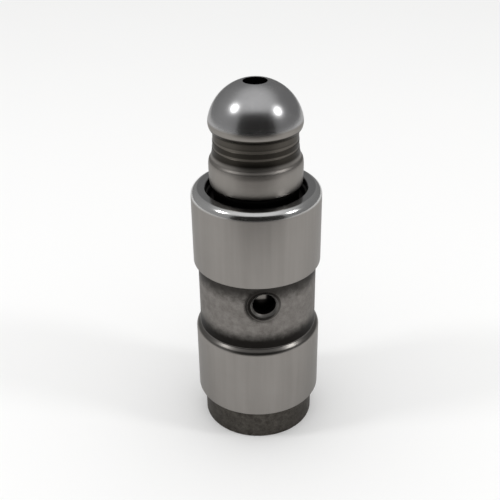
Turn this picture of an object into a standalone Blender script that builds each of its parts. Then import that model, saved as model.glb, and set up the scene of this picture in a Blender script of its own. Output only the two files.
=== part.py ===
# Hydraulic tappet with a ball end: a steel body that stands on its foot, a two-piece plunger that
# slides in its bore on a coil spring, a ball check valve under the plunger and a snap ring at the
# mouth. Lengths are in metres, +Z is up, and the origin is the centre of the foot's underside.
# The oil hole faces -Y. The plunger is modelled fully out, resting against its snap ring.

import math

import bmesh
import bpy

# Body: two ground lands with an oil groove between them, on a smaller foot
LAND_DIAMETER = 0.0120
FOOT_STEP = 0.00063
FOOT_HEIGHT = 0.00302
FOOT_TAPER = 0.00033
FOOT_BEVEL = 0.00015
LOWER_LAND_LENGTH = 0.00682
LOWER_LAND_ROUNDING = 0.00036
ROUNDING_SHARE = 0.8
GROOVE_RUNOUT = 0.00049
GROOVE_DEPTH = 0.00041
UPPER_LAND_LENGTH = 0.00745
EDGE_BREAK = 0.00010
MOUTH_ROUNDING = 0.00076
BODY_WALL = 0.00135
FLOOR_THICKNESS = 0.00250
FLOOR_FILLET = 0.00030

# Oil hole in the groove, with a rounded edge and a shallow countersink
OIL_HOLE_DIAMETER = 0.0020
OIL_HOLE_EDGE = 0.00030
COUNTERSINK_DEPTH = 0.00033
COUNTERSINK_ANGLE = math.radians(54)
COUNTERSINK_BELOW_LAND = 0.00042

# Snap ring of round wire in a groove just inside the mouth
RING_WIRE = 0.00050
RING_GAP = math.radians(34)
RING_LIP = 0.00055
RING_CLEARANCE = 0.00005

# Plunger fits, travel and the waist that feeds it with oil
RUNNING_CLEARANCE = 0.000025
SEATING_GAP = 0.00002
TRAVEL = 0.0025
WAIST_DEPTH = 0.00065
WAIST_MARGIN = 0.00020
LOWER_COLLAR = 0.00080
SHANK_STEP = 0.00072
SHANK_WALL = 0.00080
FEED_HOLE_DIAMETER = 0.0018
PLUNGER_BEVEL = 0.00015

# Ball end of the plunger, measured upwards from the body's mouth and inwards from its bore
SHOULDER_INSIDE_BORE = 0.00037
SHOULDER_EDGE_ABOVE_MOUTH = 0.00047
SHOULDER_BULGE = 0.00011
SHOULDER_RISE = 0.00177
FLARE_RISE = 0.00172
STEP_RISE = 0.00065
STEP_WIDTH = 0.00003
NECK_DEPTH = 0.00045
NECK_RISE = 0.00093
BALL_OVERHANG = 0.00037
BALL_UNDER_RISE = 0.00098
DOME_OVER_BALL = 0.000073
BALL_HOLE_DIAMETER = 0.00211
BALL_HOLE_BEVEL = 0.00008

# Lower plunger with the check valve's seat, ball, spring and cage
LOWER_PLUNGER_LENGTH = 0.00443
BOWL_DEPTH = 0.0016
DRILL_POINT = math.radians(59)
VALVE_RECESS_DEPTH = 0.00060
VALVE_RECESS_DIAMETER = 0.0040
CHECK_BALL_DIAMETER = 0.0025
SEAT_LAND = 0.00010
CHECK_LIFT = 0.00025
CAGE_SHEET = 0.00030
CAGE_SIDE_CLEARANCE = 0.00045
CAGE_OVER_FLOOR = 0.00096
CAGE_VENT_DIAMETER = 0.0010
CHECK_SPRING_WIRE = 0.00020
CHECK_SPRING_DIAMETER = 0.0015
CHECK_SPRING_TURNS = 4.0
CHECK_SPRING_ROOM = 0.00127

# Plunger spring between the body's floor and the cage's flange
SPRING_WIRE = 0.00060
SPRING_TURNS = 5.5
SPRING_SIDE_CLEARANCE = 0.00035
CLOSED_TURNS = 0.9
CLOSED_PITCH = 1.08
GROUND_SHARE = 0.30

# How finely round shapes are divided
ROUND_SEGMENTS = 56
SMALL_SEGMENTS = 28
CHECK_BALL_SEGMENTS = 20
VENT_SEGMENTS = 12
SPRING_POINTS_PER_TURN = 18
SPRING_WIRE_SIDES = 8
CHECK_SPRING_POINTS_PER_TURN = 12
CHECK_SPRING_WIRE_SIDES = 6
RING_STEPS = 36
RING_WIRE_SIDES = 8
SMOOTH_ANGLE = math.radians(28)
# Points of a turned outline that meet on the axis are merged within this distance.
MERGE_DISTANCE = 1e-7

# Radii, from the lands inwards
land_radius = LAND_DIAMETER / 2
foot_radius = land_radius - FOOT_STEP
groove_radius = land_radius - GROOVE_DEPTH
bore_radius = land_radius - BODY_WALL
oil_hole_radius = OIL_HOLE_DIAMETER / 2
oil_hole_edge_radius = oil_hole_radius + OIL_HOLE_EDGE
countersink_radius = oil_hole_edge_radius + COUNTERSINK_DEPTH * math.tan(COUNTERSINK_ANGLE)
guide_radius = bore_radius - RUNNING_CLEARANCE
waist_radius = guide_radius - WAIST_DEPTH
shank_radius = guide_radius - SHANK_STEP
reservoir_radius = shank_radius - SHANK_WALL
shoulder_radius = bore_radius - SHOULDER_INSIDE_BORE
neck_radius = shoulder_radius - NECK_DEPTH
ball_radius = neck_radius + BALL_OVERHANG
dome_radius = ball_radius + DOME_OVER_BALL
ball_hole_radius = BALL_HOLE_DIAMETER / 2
check_ball_radius = CHECK_BALL_DIAMETER / 2
seat_radius = check_ball_radius * math.sin(math.pi / 4) - SEAT_LAND
seat_cone_radius = check_ball_radius
valve_recess_radius = VALVE_RECESS_DIAMETER / 2
cage_inner_radius = check_ball_radius + CAGE_SIDE_CLEARANCE

# Heights from the body's floor upwards. The cage stays clear of the floor when the plunger is
# right down, and the ball can lift off its seat before its spring is pressed solid.
cage_bottom = FLOOR_THICKNESS + TRAVEL + CAGE_OVER_FLOOR
cage_floor = cage_bottom + CAGE_SHEET
check_ball_height = cage_floor + CHECK_SPRING_ROOM + CHECK_LIFT + check_ball_radius
seat_top = check_ball_height + math.sqrt(2) * (check_ball_radius + SEATING_GAP) - seat_radius
seat_cone_bottom = seat_top - (seat_cone_radius - seat_radius)
lower_plunger_bottom = seat_cone_bottom - VALVE_RECESS_DEPTH
flange_top = lower_plunger_bottom - SEATING_GAP
flange_bottom = flange_top - CAGE_SHEET
lower_plunger_top = lower_plunger_bottom + LOWER_PLUNGER_LENGTH
plunger_bottom = lower_plunger_top + SEATING_GAP

# The plunger's waist stays open to the oil hole over the whole travel, and the hole's
# countersink ends a little under the upper land.
waist_bottom = plunger_bottom + LOWER_COLLAR
oil_hole_height = waist_bottom + WAIST_MARGIN + oil_hole_radius
waist_top = oil_hole_height + oil_hole_radius + WAIST_MARGIN + TRAVEL
groove_end = oil_hole_height + countersink_radius + COUNTERSINK_BELOW_LAND
body_length = groove_end + UPPER_LAND_LENGTH
land_start = FOOT_HEIGHT + FOOT_TAPER
lower_land_end = land_start + LOWER_LAND_LENGTH
groove_start = lower_land_end + LOWER_LAND_ROUNDING + GROOVE_RUNOUT

# The snap ring clears the shoulder inside it and the groove round it, and the plunger's guide
# rests under it.
ring_wire_radius = RING_WIRE / 2
ring_radius = shoulder_radius + 2 * RING_CLEARANCE + ring_wire_radius
ring_groove_radius = ring_radius + ring_wire_radius + RING_CLEARANCE
ring_groove_top = body_length - RING_LIP
ring_groove_bottom = ring_groove_top - RING_WIRE - 2 * RING_CLEARANCE
ring_height = (ring_groove_bottom + ring_groove_top) / 2
guide_top = ring_height - ring_wire_radius - SEATING_GAP

# Heights of the ball end
shoulder_edge = body_length + SHOULDER_EDGE_ABOVE_MOUTH
shoulder_height = shoulder_edge + SHOULDER_RISE
lower_step = shoulder_height + FLARE_RISE
upper_step = lower_step + STEP_RISE
neck_top = upper_step + NECK_RISE
ball_height = neck_top + BALL_UNDER_RISE
dome_centre = ball_height - math.sqrt(dome_radius**2 - ball_radius**2)

# The plunger spring clears the bore, and the cage's flange reaches over its top turn.
spring_wire_radius = SPRING_WIRE / 2
spring_radius = bore_radius - SPRING_SIDE_CLEARANCE - spring_wire_radius
flange_radius = spring_radius + spring_wire_radius


# Materials

def steel(name, colour, roughness):
    material = bpy.data.materials.new(name)
    material.use_nodes = True
    shader = material.node_tree.nodes["Principled BSDF"]
    shader.inputs["Base Color"].default_value = (*colour, 1.0)
    shader.inputs["Roughness"].default_value = roughness
    shader.inputs["Metallic"].default_value = 1.0
    material.diffuse_color = (*colour, 1.0)
    return material


# Outlines, as lists of (radius, height)

def rounded(centre, size, start, end, steps):
    # An elliptical arc about its centre, with its half width and half height, angles in degrees
    points = []
    for step in range(steps + 1):
        angle = math.radians(start + (end - start) * step / steps)
        points.append((
            centre[0] + size[0] * math.cos(angle),
            centre[1] + size[1] * math.sin(angle),
        ))
    return points


# Shapes

def finish(name, shape, material):
    bmesh.ops.recalc_face_normals(shape, faces=shape.faces)
    mesh = bpy.data.meshes.new(name)
    shape.to_mesh(mesh)
    shape.free()
    mesh.shade_smooth()
    mesh.set_sharp_from_angle(angle=SMOOTH_ANGLE)
    if material:
        mesh.materials.append(material)
    piece = bpy.data.objects.new(name, mesh)
    bpy.context.scene.collection.objects.link(piece)
    return piece


def turned(name, outline, material, segments):
    # Spins an outline about Z. One that starts and ends on the axis stays open there.
    shape = bmesh.new()
    corners = [shape.verts.new((radius, 0.0, height)) for radius, height in outline]
    edges = [shape.edges.new(pair) for pair in zip(corners, corners[1:])]
    if outline[0][0] > 0:
        edges.append(shape.edges.new((corners[-1], corners[0])))
    bmesh.ops.spin(
        shape,
        geom=corners + edges,
        cent=(0, 0, 0),
        axis=(0, 0, 1),
        angle=2 * math.pi,
        steps=segments,
        use_merge=True,
    )
    bmesh.ops.remove_doubles(shape, verts=shape.verts, dist=MERGE_DISTANCE)
    return finish(name, shape, material)


def cutter(name, outline, segments):
    # A turned tool for a Boolean. It stays out of the render and out of the part.
    tool = turned(name, outline, None, segments)
    tool.hide_render = True
    tool.display_type = "WIRE"
    return tool


def cut(piece, tool):
    boolean = piece.modifiers.new(tool.name, "BOOLEAN")
    boolean.operation = "DIFFERENCE"
    boolean.solver = "EXACT"
    boolean.object = tool


def wire(name, points, wire_radius, sides):
    # A round wire along a line of points, as a mesh with flat ends
    curve = bpy.data.curves.new(name, "CURVE")
    curve.dimensions = "3D"
    curve.twist_mode = "Z_UP"
    curve.bevel_depth = wire_radius
    curve.bevel_resolution = sides // 2 - 2
    curve.use_fill_caps = True
    line = curve.splines.new("POLY")
    line.points.add(len(points) - 1)
    for point, place in zip(line.points, points):
        point.co = (*place, 1.0)
    guide = bpy.data.objects.new(name + "_line", curve)
    bpy.context.scene.collection.objects.link(guide)
    bpy.context.view_layer.update()
    drawn = guide.evaluated_get(bpy.context.evaluated_depsgraph_get())
    mesh = bpy.data.meshes.new_from_object(drawn)
    shape = bmesh.new()
    shape.from_mesh(mesh)
    bmesh.ops.remove_doubles(shape, verts=shape.verts, dist=MERGE_DISTANCE)
    bpy.data.objects.remove(guide)
    bpy.data.curves.remove(curve)
    bpy.data.meshes.remove(mesh)
    return shape


def ground_flat(shape, height, outward):
    # Cuts a wire shape off level at a height and closes the cut, like a ground spring end.
    cut_geometry = bmesh.ops.bisect_plane(
        shape,
        geom=shape.verts[:] + shape.edges[:] + shape.faces[:],
        dist=MERGE_DISTANCE,
        plane_co=(0, 0, height),
        plane_no=(0, 0, outward),
        clear_outer=True,
    )
    rim = [part for part in cut_geometry["geom_cut"] if isinstance(part, bmesh.types.BMEdge)]
    bmesh.ops.edgenet_fill(shape, edges=rim)


def coil_points(radius, bottom, top, wire_diameter, turns, per_turn):
    # A helix whose end turns lie close together. The pitch widens smoothly between them.
    closed_pitch = wire_diameter * CLOSED_PITCH
    open_rise = top - bottom - 2 * CLOSED_TURNS * closed_pitch
    open_turns = turns - 2 * CLOSED_TURNS
    points = []
    for step in range(round(turns * per_turn) + 1):
        turn = min(step / per_turn, turns)
        if turn < CLOSED_TURNS:
            height = bottom + turn * closed_pitch
        elif turn > turns - CLOSED_TURNS:
            height = top - (turns - turn) * closed_pitch
        else:
            share = (turn - CLOSED_TURNS) / open_turns
            height = bottom + CLOSED_TURNS * closed_pitch + open_rise * share
        angle = 2 * math.pi * turn
        points.append((radius * math.cos(angle), radius * math.sin(angle), height))
    return points


def coil_spring(name, radius, bottom, top, wire_radius, turns, per_turn, sides, material):
    # A compression spring between two faces, with closed ends that are ground flat
    ground = 2 * wire_radius * GROUND_SHARE
    points = coil_points(
        radius,
        bottom + wire_radius - ground,
        top - wire_radius + ground,
        2 * wire_radius,
        turns,
        per_turn,
    )
    shape = wire(name, points, wire_radius, sides)
    ground_flat(shape, bottom, -1)
    ground_flat(shape, top, 1)
    return finish(name, shape, material)


# Pieces

def make_body():
    outline = [(0.0, 0.0), (foot_radius - FOOT_BEVEL, 0.0), (foot_radius, FOOT_BEVEL)]
    outline += [(foot_radius, FOOT_HEIGHT), (land_radius - EDGE_BREAK, land_start - EDGE_BREAK)]
    outline += [(land_radius, land_start)]
    # The lower land rounds over and runs out into the oil groove.
    round_width = ROUNDING_SHARE * GROOVE_DEPTH
    round_centre = (land_radius - round_width, lower_land_end)
    outline += rounded(round_centre, (round_width, LOWER_LAND_ROUNDING), 0, 90, 4)
    runout_centre = (land_radius - round_width, groove_start)
    outline += rounded(runout_centre, (GROOVE_DEPTH - round_width, GROOVE_RUNOUT), 270, 180, 3)[1:]
    outline += [(groove_radius, groove_end), (land_radius - EDGE_BREAK, groove_end)]
    outline += [(land_radius, groove_end + EDGE_BREAK)]
    mouth_centre = (land_radius - MOUTH_ROUNDING, body_length - MOUTH_ROUNDING)
    outline += rounded(mouth_centre, (MOUTH_ROUNDING, MOUTH_ROUNDING), 0, 90, 5)
    # Down the bore, past the snap ring's groove, to the floor
    outline += [(bore_radius + EDGE_BREAK, body_length), (bore_radius, body_length - EDGE_BREAK)]
    outline += [(bore_radius, ring_groove_top), (ring_groove_radius, ring_groove_top)]
    outline += [(ring_groove_radius, ring_groove_bottom), (bore_radius, ring_groove_bottom)]
    floor_centre = (bore_radius - FLOOR_FILLET, FLOOR_THICKNESS + FLOOR_FILLET)
    outline += rounded(floor_centre, (FLOOR_FILLET, FLOOR_FILLET), 360, 270, 2)
    outline += [(0.0, FLOOR_THICKNESS)]
    body = turned("body", outline, steel("body_steel", (0.42, 0.40, 0.38), 0.30), ROUND_SEGMENTS)

    # The drill comes in from -Y, so its own Z axis is turned to point that way.
    countersink_start = groove_radius - COUNTERSINK_DEPTH
    drill = cutter(
        "oil_hole_drill",
        [
            (0.0, bore_radius - WAIST_DEPTH),
            (oil_hole_radius, bore_radius - WAIST_DEPTH),
            (oil_hole_radius, countersink_start - OIL_HOLE_EDGE),
            (oil_hole_edge_radius, countersink_start),
            (countersink_radius, groove_radius),
            (countersink_radius, land_radius),
            (0.0, land_radius),
        ],
        SMALL_SEGMENTS,
    )
    drill.location = (0, 0, oil_hole_height)
    drill.rotation_euler = (math.pi / 2, 0, 0)
    cut(body, drill)
    return body


def make_ball_plunger():
    # Up the outside: collar, waist, guide and shank
    outline = [(guide_radius - PLUNGER_BEVEL, plunger_bottom)]
    outline += [(guide_radius, plunger_bottom + PLUNGER_BEVEL)]
    outline += [(guide_radius, waist_bottom - PLUNGER_BEVEL), (waist_radius, waist_bottom)]
    outline += [(waist_radius, waist_top), (guide_radius, waist_top + WAIST_DEPTH)]
    outline += [(guide_radius, guide_top - PLUNGER_BEVEL), (guide_radius - PLUNGER_BEVEL, guide_top)]
    outline += [(shank_radius, guide_top)]
    edge_radius = shoulder_radius - SHOULDER_BULGE
    outline += [(shank_radius, shoulder_edge - (edge_radius - shank_radius))]
    # The shoulder bulges a little, then flares into the neck over two fine turned steps.
    bulge = (SHOULDER_BULGE, SHOULDER_RISE)
    outline += rounded((edge_radius, shoulder_height), bulge, 270, 360, 4)
    step_radius = neck_radius + 2 * STEP_WIDTH
    flare_width = shoulder_radius - step_radius
    for step in range(1, 6):
        share = step / 5
        radius = step_radius + flare_width * (0.5 + 0.5 * math.cos(math.pi * share))
        outline.append((radius, shoulder_height + FLARE_RISE * share))
    outline += [(step_radius - STEP_WIDTH, lower_step + STEP_WIDTH)]
    outline += [(step_radius - STEP_WIDTH, upper_step), (neck_radius, upper_step + STEP_WIDTH)]
    # The ball's underside is an arc that runs smoothly into the dome, which goes up to the hole.
    dome_start = math.degrees(math.acos(ball_radius / dome_radius))
    lean = math.tan(math.radians(dome_start)) * BALL_UNDER_RISE / BALL_OVERHANG
    under_end = math.degrees(math.asin(lean / (1 + lean)))
    under_height = BALL_UNDER_RISE * (1 + lean) / (1 + 2 * lean)
    under_width = BALL_OVERHANG / math.cos(math.radians(under_end))
    under_centre = (neck_radius, neck_top + under_height)
    outline += rounded(under_centre, (under_width, under_height), -90, under_end, 5)
    rim_radius = ball_hole_radius + BALL_HOLE_BEVEL
    dome_end = math.degrees(math.acos(rim_radius / dome_radius))
    dome = rounded((0.0, dome_centre), (dome_radius, dome_radius), dome_start, dome_end, 8)
    outline += dome[1:]
    # Down the inside: the oil hole, the drill's cone and the reservoir
    rim_height = dome[-1][1]
    cone_rise = (reservoir_radius - ball_hole_radius) / math.tan(DRILL_POINT)
    outline += [(ball_hole_radius, rim_height - BALL_HOLE_BEVEL / 2)]
    outline += [(ball_hole_radius, shoulder_height + cone_rise), (reservoir_radius, shoulder_height)]
    outline += [(reservoir_radius, plunger_bottom + PLUNGER_BEVEL)]
    outline += [(reservoir_radius + PLUNGER_BEVEL, plunger_bottom)]
    finish_steel = steel("ball_plunger_steel", (0.45, 0.44, 0.43), 0.18)
    plunger = turned("ball_plunger", outline, finish_steel, ROUND_SEGMENTS)

    # The feed hole through the waist's wall, at the back
    feed_radius = FEED_HOLE_DIAMETER / 2
    feed = cutter(
        "feed_hole_drill",
        [
            (0.0, reservoir_radius - feed_radius),
            (feed_radius, reservoir_radius - feed_radius),
            (feed_radius, guide_radius),
            (0.0, guide_radius),
        ],
        SMALL_SEGMENTS,
    )
    feed.location = (0, 0, (waist_bottom + waist_top) / 2)
    feed.rotation_euler = (-math.pi / 2, 0, 0)
    cut(plunger, feed)
    return plunger


def make_lower_plunger():
    # Up the outside, down the bowl, and out through the valve seat's cone and recess
    outline = [(guide_radius - PLUNGER_BEVEL, lower_plunger_bottom)]
    outline += [(guide_radius, lower_plunger_bottom + PLUNGER_BEVEL)]
    outline += [(guide_radius, lower_plunger_top - PLUNGER_BEVEL)]
    outline += [(guide_radius - PLUNGER_BEVEL, lower_plunger_top)]
    outline += [(reservoir_radius + PLUNGER_BEVEL, lower_plunger_top)]
    outline += [(reservoir_radius, lower_plunger_top - PLUNGER_BEVEL)]
    bowl_bottom = lower_plunger_top - BOWL_DEPTH
    cone_depth = (reservoir_radius - seat_radius) / math.tan(DRILL_POINT)
    outline += [(reservoir_radius, bowl_bottom), (seat_radius, bowl_bottom - cone_depth)]
    outline += [(seat_radius, seat_top), (seat_cone_radius, seat_cone_bottom)]
    outline += [(valve_recess_radius, seat_cone_bottom)]
    outline += [(valve_recess_radius, lower_plunger_bottom)]
    finish_steel = steel("lower_plunger_steel", (0.50, 0.49, 0.47), 0.22)
    return turned("lower_plunger", outline, finish_steel, ROUND_SEGMENTS)


def make_check_ball():
    outline = rounded((0.0, check_ball_height), (check_ball_radius, check_ball_radius), -90, 90, 12)
    outline[0] = (0.0, check_ball_height - check_ball_radius)
    outline[-1] = (0.0, check_ball_height + check_ball_radius)
    finish_steel = steel("bearing_steel", (0.60, 0.60, 0.60), 0.08)
    return turned("check_ball", outline, finish_steel, CHECK_BALL_SEGMENTS)


def make_check_ball_cage():
    # A pressed hat of thin sheet with round bends, whose flange the plunger spring holds up
    outer_radius = cage_inner_radius + CAGE_SHEET
    bend = (CAGE_SHEET, CAGE_SHEET)
    outline = [(0.0, cage_bottom)]
    outline += rounded((outer_radius - CAGE_SHEET, cage_floor), bend, 270, 360, 2)
    outline += [(outer_radius, flange_bottom), (flange_radius, flange_bottom)]
    outline += [(flange_radius, flange_top)]
    outline += rounded((outer_radius, flange_bottom), bend, 90, 180, 2)
    outline += [(cage_inner_radius, cage_floor), (0.0, cage_floor)]
    finish_steel = steel("cage_steel", (0.48, 0.47, 0.45), 0.35)
    cage = turned("check_ball_cage", outline, finish_steel, SMALL_SEGMENTS)

    # Two drills straight through leave four vents round the ball.
    vent_radius = CAGE_VENT_DIAMETER / 2
    reach = outer_radius + CAGE_SHEET
    vent = [(0.0, -reach), (vent_radius, -reach), (vent_radius, reach), (0.0, reach)]
    for name, turn in (("vent_drill_x", 0.0), ("vent_drill_y", math.pi / 2)):
        drill = cutter(name, vent, VENT_SEGMENTS)
        drill.location = (0, 0, (cage_floor + flange_bottom) / 2)
        drill.rotation_euler = (0, math.pi / 2, turn)
        cut(cage, drill)
    return cage


def make_check_ball_spring():
    # Its top turn stops just under the ball's round side.
    wire_radius = CHECK_SPRING_WIRE / 2
    radius = CHECK_SPRING_DIAMETER / 2
    reach = check_ball_radius + wire_radius + SEATING_GAP
    top_turn = check_ball_height - math.sqrt(reach**2 - radius**2)
    flat = 2 * wire_radius * GROUND_SHARE
    return coil_spring(
        "check_ball_spring",
        radius,
        cage_floor + SEATING_GAP,
        top_turn + wire_radius - flat,
        wire_radius,
        CHECK_SPRING_TURNS,
        CHECK_SPRING_POINTS_PER_TURN,
        CHECK_SPRING_WIRE_SIDES,
        steel("check_spring_wire", (0.42, 0.41, 0.40), 0.30),
    )


def make_plunger_spring():
    return coil_spring(
        "plunger_spring",
        spring_radius,
        FLOOR_THICKNESS + SEATING_GAP,
        flange_bottom - SEATING_GAP,
        spring_wire_radius,
        SPRING_TURNS,
        SPRING_POINTS_PER_TURN,
        SPRING_WIRE_SIDES,
        steel("plunger_spring_wire", (0.40, 0.39, 0.38), 0.32),
    )


def make_retaining_ring():
    # The ring's gap faces +Y, away from the oil hole.
    points = []
    for step in range(RING_STEPS + 1):
        angle = math.pi / 2 + RING_GAP / 2 + (2 * math.pi - RING_GAP) * step / RING_STEPS
        points.append((ring_radius * math.cos(angle), ring_radius * math.sin(angle), ring_height))
    shape = wire("retaining_ring", points, ring_wire_radius, RING_WIRE_SIDES)
    return finish("retaining_ring", shape, steel("ring_steel", (0.30, 0.29, 0.28), 0.40))


def main():
    for piece in list(bpy.data.objects):
        bpy.data.objects.remove(piece)
    body = make_body()
    slide = bpy.data.objects.new("plunger_slide", None)
    bpy.context.scene.collection.objects.link(slide)
    slide.parent = body
    moving = [make_lower_plunger(), make_ball_plunger(), make_check_ball_cage()]
    moving += [make_check_ball(), make_check_ball_spring()]
    for piece in moving:
        piece.parent = slide
    for piece in (make_plunger_spring(), make_retaining_ring()):
        piece.parent = body


main()
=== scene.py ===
import math

import bpy
from mathutils import Matrix, Vector


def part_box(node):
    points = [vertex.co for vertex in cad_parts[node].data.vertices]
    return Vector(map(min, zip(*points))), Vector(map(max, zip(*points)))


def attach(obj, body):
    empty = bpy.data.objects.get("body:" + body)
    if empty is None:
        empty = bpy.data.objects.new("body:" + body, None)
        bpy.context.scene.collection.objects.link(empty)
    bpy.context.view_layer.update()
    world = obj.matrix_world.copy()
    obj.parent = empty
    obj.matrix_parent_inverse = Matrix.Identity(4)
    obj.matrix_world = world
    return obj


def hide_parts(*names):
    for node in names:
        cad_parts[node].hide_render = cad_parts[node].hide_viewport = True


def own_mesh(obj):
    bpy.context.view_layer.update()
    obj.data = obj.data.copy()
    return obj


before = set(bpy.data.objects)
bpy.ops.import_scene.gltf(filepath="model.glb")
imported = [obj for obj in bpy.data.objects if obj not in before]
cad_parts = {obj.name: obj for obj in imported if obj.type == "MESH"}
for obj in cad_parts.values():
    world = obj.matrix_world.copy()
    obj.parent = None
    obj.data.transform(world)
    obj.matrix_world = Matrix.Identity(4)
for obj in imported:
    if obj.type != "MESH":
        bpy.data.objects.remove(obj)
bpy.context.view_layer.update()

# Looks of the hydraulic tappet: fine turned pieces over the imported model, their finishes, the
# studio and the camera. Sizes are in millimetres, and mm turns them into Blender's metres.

mm = 0.001


# Shader maths

class Shade:
    # Holds a node's output, so that maths on it reads like arithmetic and adds Math nodes.
    def __init__(self, tree, socket=None):
        self.tree = tree
        self.socket = socket

    def node(self, kind, settings=None, sockets=None, output=0):
        # Settings are set first, then the sockets take a value or another Shade's link.
        made = self.tree.nodes.new(kind)
        for name, value in (settings or {}).items():
            setattr(made, name, value)
        for key, value in (sockets or {}).items():
            if isinstance(value, Shade):
                self.tree.links.new(value.socket, made.inputs[key])
            else:
                made.inputs[key].default_value = value
        return Shade(self.tree, made.outputs[output])

    def maths(self, operation, *values):
        return self.node("ShaderNodeMath", {"operation": operation}, dict(enumerate(values)))

    def __add__(self, other):
        return self.maths("ADD", self, other)

    __radd__ = __add__

    def __sub__(self, other):
        return self.maths("SUBTRACT", self, other)

    def __rsub__(self, other):
        return self.maths("SUBTRACT", other, self)

    def __mul__(self, other):
        return self.maths("MULTIPLY", self, other)

    __rmul__ = __mul__

    def __truediv__(self, other):
        return self.maths("DIVIDE", self, other)

    def __pow__(self, other):
        return self.maths("POWER", self, other)

    def most(self, other):
        return self.maths("MAXIMUM", self, other)

    def rise(self, start, end):
        # 0 below start and 1 above end, with a smooth change between them
        return self.node(
            "ShaderNodeMapRange",
            {"interpolation_type": "SMOOTHSTEP"},
            {"Value": self, "From Min": start, "From Max": end},
        )

    def band(self, start, end, blur):
        # 1 between two values and 0 outside them
        return self.rise(start - blur, start + blur) * (1 - self.rise(end - blur, end + blur))

    def tone(self, first, second):
        # Goes from the first colour at 0 to the second at 1. A colour is three numbers or a Shade.
        # A Mix node takes its two colours at sockets 6 and 7 and gives the mixed one at 2.
        ends = [c if isinstance(c, Shade) else (*c, 1) for c in (first, second)]
        return self.node(
            "ShaderNodeMix",
            {"data_type": "RGBA"},
            {0: self, 6: ends[0], 7: ends[1]},
            2,
        )


class Finish:
    # A material on its Principled shader, with the places in millimetres that its patterns read
    def __init__(self, name, metallic=1.0, edgeTint=0.7):
        self.material = bpy.data.materials.new(name)
        self.material.use_nodes = True
        tree = self.material.node_tree
        self.shader = tree.nodes["Principled BSDF"]
        self.shader.inputs["Metallic"].default_value = metallic
        self.shader.inputs["Specular Tint"].default_value = (edgeTint, edgeTint, edgeTint, 1)
        self.root = Shade(tree)
        place = self.root.node("ShaderNodeTexCoord", output="Object")
        self.inMm = self.root.node(
            "ShaderNodeVectorMath", {"operation": "SCALE"}, {0: place, "Scale": 1 / mm}
        )
        self.x, self.y, self.height = [
            self.root.node("ShaderNodeSeparateXYZ", None, {0: self.inMm}, axis) for axis in "XYZ"
        ]
        self.radius = (self.x * self.x + self.y * self.y) ** 0.5

    def grain(self, across, along, detail=3.0, roughness=0.5):
        # Noise about 0.5, with so many patches to a millimetre across the axis and along it
        stretched = self.root.node(
            "ShaderNodeVectorMath",
            {"operation": "MULTIPLY"},
            {0: self.inMm, 1: (across, across, along)},
        )
        return self.root.node(
            "ShaderNodeTexNoise",
            None,
            {"Vector": stretched, "Scale": 1.0, "Detail": detail, "Roughness": roughness},
        )

    def wear(self, colour, roughness, relief, depth):
        # The relief has no unit of its own: 1 of it is depth millimetres high.
        links = self.root.tree.links
        links.new(colour.socket, self.shader.inputs["Base Color"])
        links.new(roughness.socket, self.shader.inputs["Roughness"])
        bump = self.root.node(
            "ShaderNodeBump",
            None,
            {"Height": relief, "Strength": 1.0, "Distance": depth * mm},
        )
        links.new(bump.socket, self.shader.inputs["Normal"])
        return self.material


# Modelling

meetDistance = 0.00005 * mm
cornerReach = 0.001 * mm
cornerSegments = 3
smoothAngle = math.radians(30)


def arc(radius, height, width, rise, start, end, steps):
    # An elliptical arc about (radius, height), with its half width and half height
    points = []
    for step in range(steps + 1):
        turn = math.radians(start + (end - start) * step / steps)
        points.append((radius + width * math.cos(turn), height + rise * math.sin(turn)))
    return points


def selectPoints(piece, chosen):
    # Leaves only the chosen vertices selected, in edit mode
    bpy.ops.mesh.select_all(action="DESELECT")
    bpy.ops.object.mode_set(mode="OBJECT")
    for point in piece.data.vertices:
        point.select = chosen(point.co)
    bpy.ops.object.mode_set(mode="EDIT")


def tidyMesh():
    # Merges what meets and turns the faces outwards, in edit mode
    bpy.ops.mesh.select_all(action="SELECT")
    bpy.ops.mesh.remove_doubles(threshold=meetDistance)
    bpy.ops.mesh.normals_make_consistent(inside=False)


def turnOnLathe(name, outline, steps, roundings=()):
    # One vertex is drawn along half the section, its corners are rounded, and it is spun about Z.
    bpy.ops.object.select_all(action="DESELECT")
    bpy.ops.mesh.primitive_plane_add(size=mm, location=(outline[0][0] * mm, 0, outline[0][1] * mm))
    piece = bpy.context.object
    piece.name = name
    bpy.ops.object.transform_apply(location=True, rotation=False, scale=False)
    bpy.ops.object.mode_set(mode="EDIT")
    bpy.ops.mesh.select_all(action="SELECT")
    bpy.ops.mesh.merge(type="CENTER")
    for (radius, height), (nextRadius, nextHeight) in zip(outline, outline[1:]):
        move = ((nextRadius - radius) * mm, 0, (nextHeight - height) * mm)
        bpy.ops.mesh.extrude_vertices_move(TRANSFORM_OT_translate={"value": move})
    for width, corners in roundings:
        places = [Vector((radius * mm, 0, height * mm)) for radius, height in corners]
        selectPoints(piece, lambda point: any((point - place).length < cornerReach for place in places))
        bpy.ops.mesh.bevel(offset=width * mm, segments=cornerSegments, affect="VERTICES")
    bpy.ops.mesh.select_all(action="SELECT")
    bpy.ops.mesh.spin(steps=steps, angle=2 * math.pi, center=(0, 0, 0), axis=(0, 0, 1))
    tidyMesh()
    bpy.ops.object.mode_set(mode="OBJECT")
    return piece


def drillOut(piece, outline, steps, centre, rotation, roundings=()):
    # A turned drill is stood at its place and cut out of the piece.
    drill = turnOnLathe("drill", outline, steps, roundings)
    drill.location = Vector(centre) * mm
    drill.rotation_euler = rotation
    hole = piece.modifiers.new("hole", "BOOLEAN")
    hole.object = drill
    bpy.ops.object.select_all(action="DESELECT")
    bpy.context.view_layer.objects.active = piece
    piece.select_set(True)
    bpy.ops.object.modifier_apply(modifier=hole.name)
    bpy.data.objects.remove(drill)


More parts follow.
